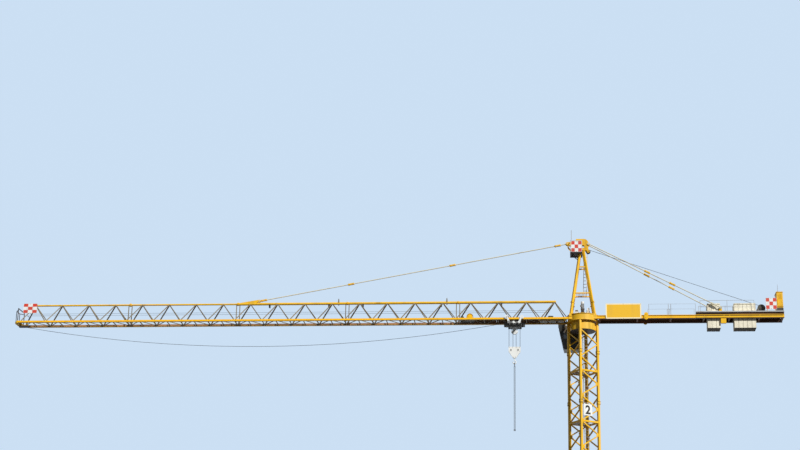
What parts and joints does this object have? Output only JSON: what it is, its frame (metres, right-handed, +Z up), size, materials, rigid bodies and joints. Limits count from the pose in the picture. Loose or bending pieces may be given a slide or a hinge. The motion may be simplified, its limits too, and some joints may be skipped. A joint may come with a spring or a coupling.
{
  "type": "tower crane, scale model 1:2",
  "caption": "Saddle-jib tower crane with a tower top, tie bars, cab, trolley, hook block and hanging counterweights, as a half-size model.",
  "frame": {"origin": "on the tower axis, at the flat underside of the base frame", "axes": "+Z up along the tower; -X along the jib at rest; the cab is on the +Y side"},
  "size_m": [34.567, 4.4074, 25.025],
  "materials": {
    "yellow_paint": "semi-gloss paint",
    "galvanised": "galvanised",
    "grey_paint": "semi-gloss paint",
    "board_paint": "satin paint",
    "white_paint": "semi-gloss paint",
    "glass": "tinted",
    "dark_steel": "greased",
    "wire_rope": "greased",
    "concrete": "cast concrete, painted"
  },
  "bodies": {
    "tower": {"base_frame": "yellow_paint", "tower_legs": "yellow_paint", "tower_side_1": "yellow_paint", "tower_side_2": "yellow_paint", "tower_side_3": "yellow_paint", "tower_side_4": "yellow_paint", "tower_ladder": "galvanised", "rest_platforms": "galvanised", "tower_head": "yellow_paint", "number_plate": "board_paint"},
    "slewing_part": {"turntable": "yellow_paint", "top_front_frame": "yellow_paint", "top_rear_frame": "yellow_paint", "top_side_braces": "yellow_paint", "top_cap": "yellow_paint", "jib_top_chord": "yellow_paint", "jib_lower_chords": "yellow_paint", "jib_near_side": "yellow_paint", "jib_far_side": "yellow_paint", "jib_floor": "yellow_paint", "jib_tip": "yellow_paint", "counter_jib": "yellow_paint", "control_cabinet": "yellow_paint", "top_platform": "galvanised", "counter_jib_rails": "galvanised", "counter_jib_deck": "galvanised", "front_tie": "galvanised", "rear_ties": "galvanised", "slewing_motors": "grey_paint", "rope_winches": "grey_paint", "cab_shell": "grey_paint", "sign_panels": "board_paint", "cab_windows": "glass", "rope_pulleys": "dark_steel", "jib_run_rope": "wire_rope", "taut_ropes": "wire_rope", "counterweights": "concrete"},
    "trolley": {"trolley_frame": "grey_paint", "trolley_wheels": "dark_steel", "hoist_falls": "wire_rope"},
    "hook_block": {"block_cheeks": "white_paint", "block_sheaves": "dark_steel"},
    "hook": {"hook": "white_paint", "sling_legs": "wire_rope", "sling_fittings": "dark_steel"}
  },
  "joints": [
    {"name": "slew", "type": "hinge", "parent": "tower", "child": "slewing_part", "pos_m": [0, 0, 20.59], "axis": [0, 0, 1], "continuous": true},
    {"name": "trolley_travel", "type": "slide", "parent": "slewing_part", "child": "trolley", "axis": [-1, 0, 0], "range_m": [0, 20.75], "deforming": ["jib_run_rope"]},
    {"name": "hoist", "type": "slide", "parent": "trolley", "child": "hook_block", "axis": [0, 0, 1], "range_m": [-15.4, 0.4], "deforming": ["hoist_falls"]},
    {"name": "hook_swivel", "type": "hinge", "parent": "hook_block", "child": "hook", "pos_m": [-3.02, 0, 19.005], "axis": [0, 0, 1], "continuous": true}
  ]
}
